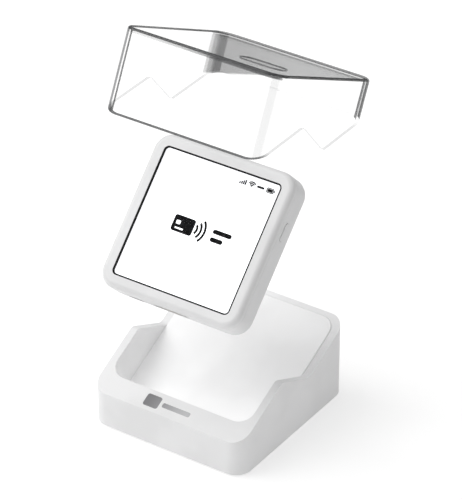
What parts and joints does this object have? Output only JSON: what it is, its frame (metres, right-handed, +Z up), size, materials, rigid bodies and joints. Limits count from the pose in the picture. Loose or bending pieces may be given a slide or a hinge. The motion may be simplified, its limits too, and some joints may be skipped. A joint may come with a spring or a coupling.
{
  "type": "card payment terminal with charging dock",
  "caption": "Square card payment terminal lifted out of its sloping charging dock, with a clear dust cover lifted above it.",
  "frame": {"origin": "middle of the dock's footprint, on the surface it stands on", "axes": "+Z up, -Y towards the person using it, +X to their right"},
  "size_m": [0.093, 0.1206, 0.2175],
  "materials": {
    "white_shell": "satin white moulded plastic",
    "white_frame": "satin white moulded plastic",
    "white_seat": "satin white moulded plastic",
    "grey_base": "fine matt grey plastic",
    "badge": "silver-grey inlay",
    "rubber": "matt grey rubber",
    "steel": "brushed",
    "gold": "gold plated",
    "black_plastic": "fine matt black",
    "board": "green solder resist",
    "window": "clear flat glass",
    "film": "clear film",
    "display": "lit display panel",
    "diffuser": "white diffuser",
    "clear": "clear colourless plastic, polished",
    "battery_wrap": "dark wrap",
    "copper": "copper foil"
  },
  "bodies": {
    "dock": {"dock_housing": "white_shell", "dock_seat": "white_seat", "dock_base_plate": "grey_base", "dock_screws": "steel", "dock_foot_pad": "rubber", "dock_weight": "steel", "dock_board": "board", "dock_usb_socket": "steel", "dock_contact_block": "black_plastic", "dock_pin_barrels": "gold", "dock_badge": "badge"},
    "dock_pins": {"dock_pins": "gold"},
    "terminal": {"front_frame": "white_frame", "rear_shell": "white_shell", "window_glass": "window", "window_seal": "black_plastic", "touch_film": "film", "display_panel": "display", "backlight": "diffuser", "chassis": "black_plastic", "rear_screws": "steel", "main_board": "board", "board_chips": "black_plastic", "shield_can": "steel", "battery": "battery_wrap", "speaker": "black_plastic", "contactless_aerial": "copper", "mobile_aerial": "copper", "terminal_usb_socket": "steel", "card_reader": "black_plastic", "card_contacts": "gold", "button_switch": "black_plastic", "charging_pads": "gold", "contact_strip": "black_plastic"},
    "power_button": {"power_button": "white_frame"},
    "cover": {"clear_cover": "clear"}
  },
  "joints": [
    {"name": "terminal_lift", "type": "hinge", "parent": "dock", "child": "terminal", "pos_m": [0, -0.224, 0.0205], "axis": [1, 0, 0], "range_deg": [-20, 0]},
    {"name": "cover_lift", "type": "hinge", "parent": "terminal", "child": "cover", "pos_m": [0, 0.06817, 0.10077], "axis": [-1, 0, 0], "range_deg": [-46, 0]},
    {"name": "power_button_press", "type": "slide", "parent": "terminal", "child": "power_button", "axis": [-1, 0, 0], "range_m": [0, 0.0004], "stiffness_N_per_m": 2000},
    {"name": "dock_pins_press", "type": "slide", "parent": "dock", "child": "dock_pins", "axis": [0, -0.8988, -0.4384], "range_m": [0, 0.001], "stiffness_N_per_m": 1000}
  ]
}
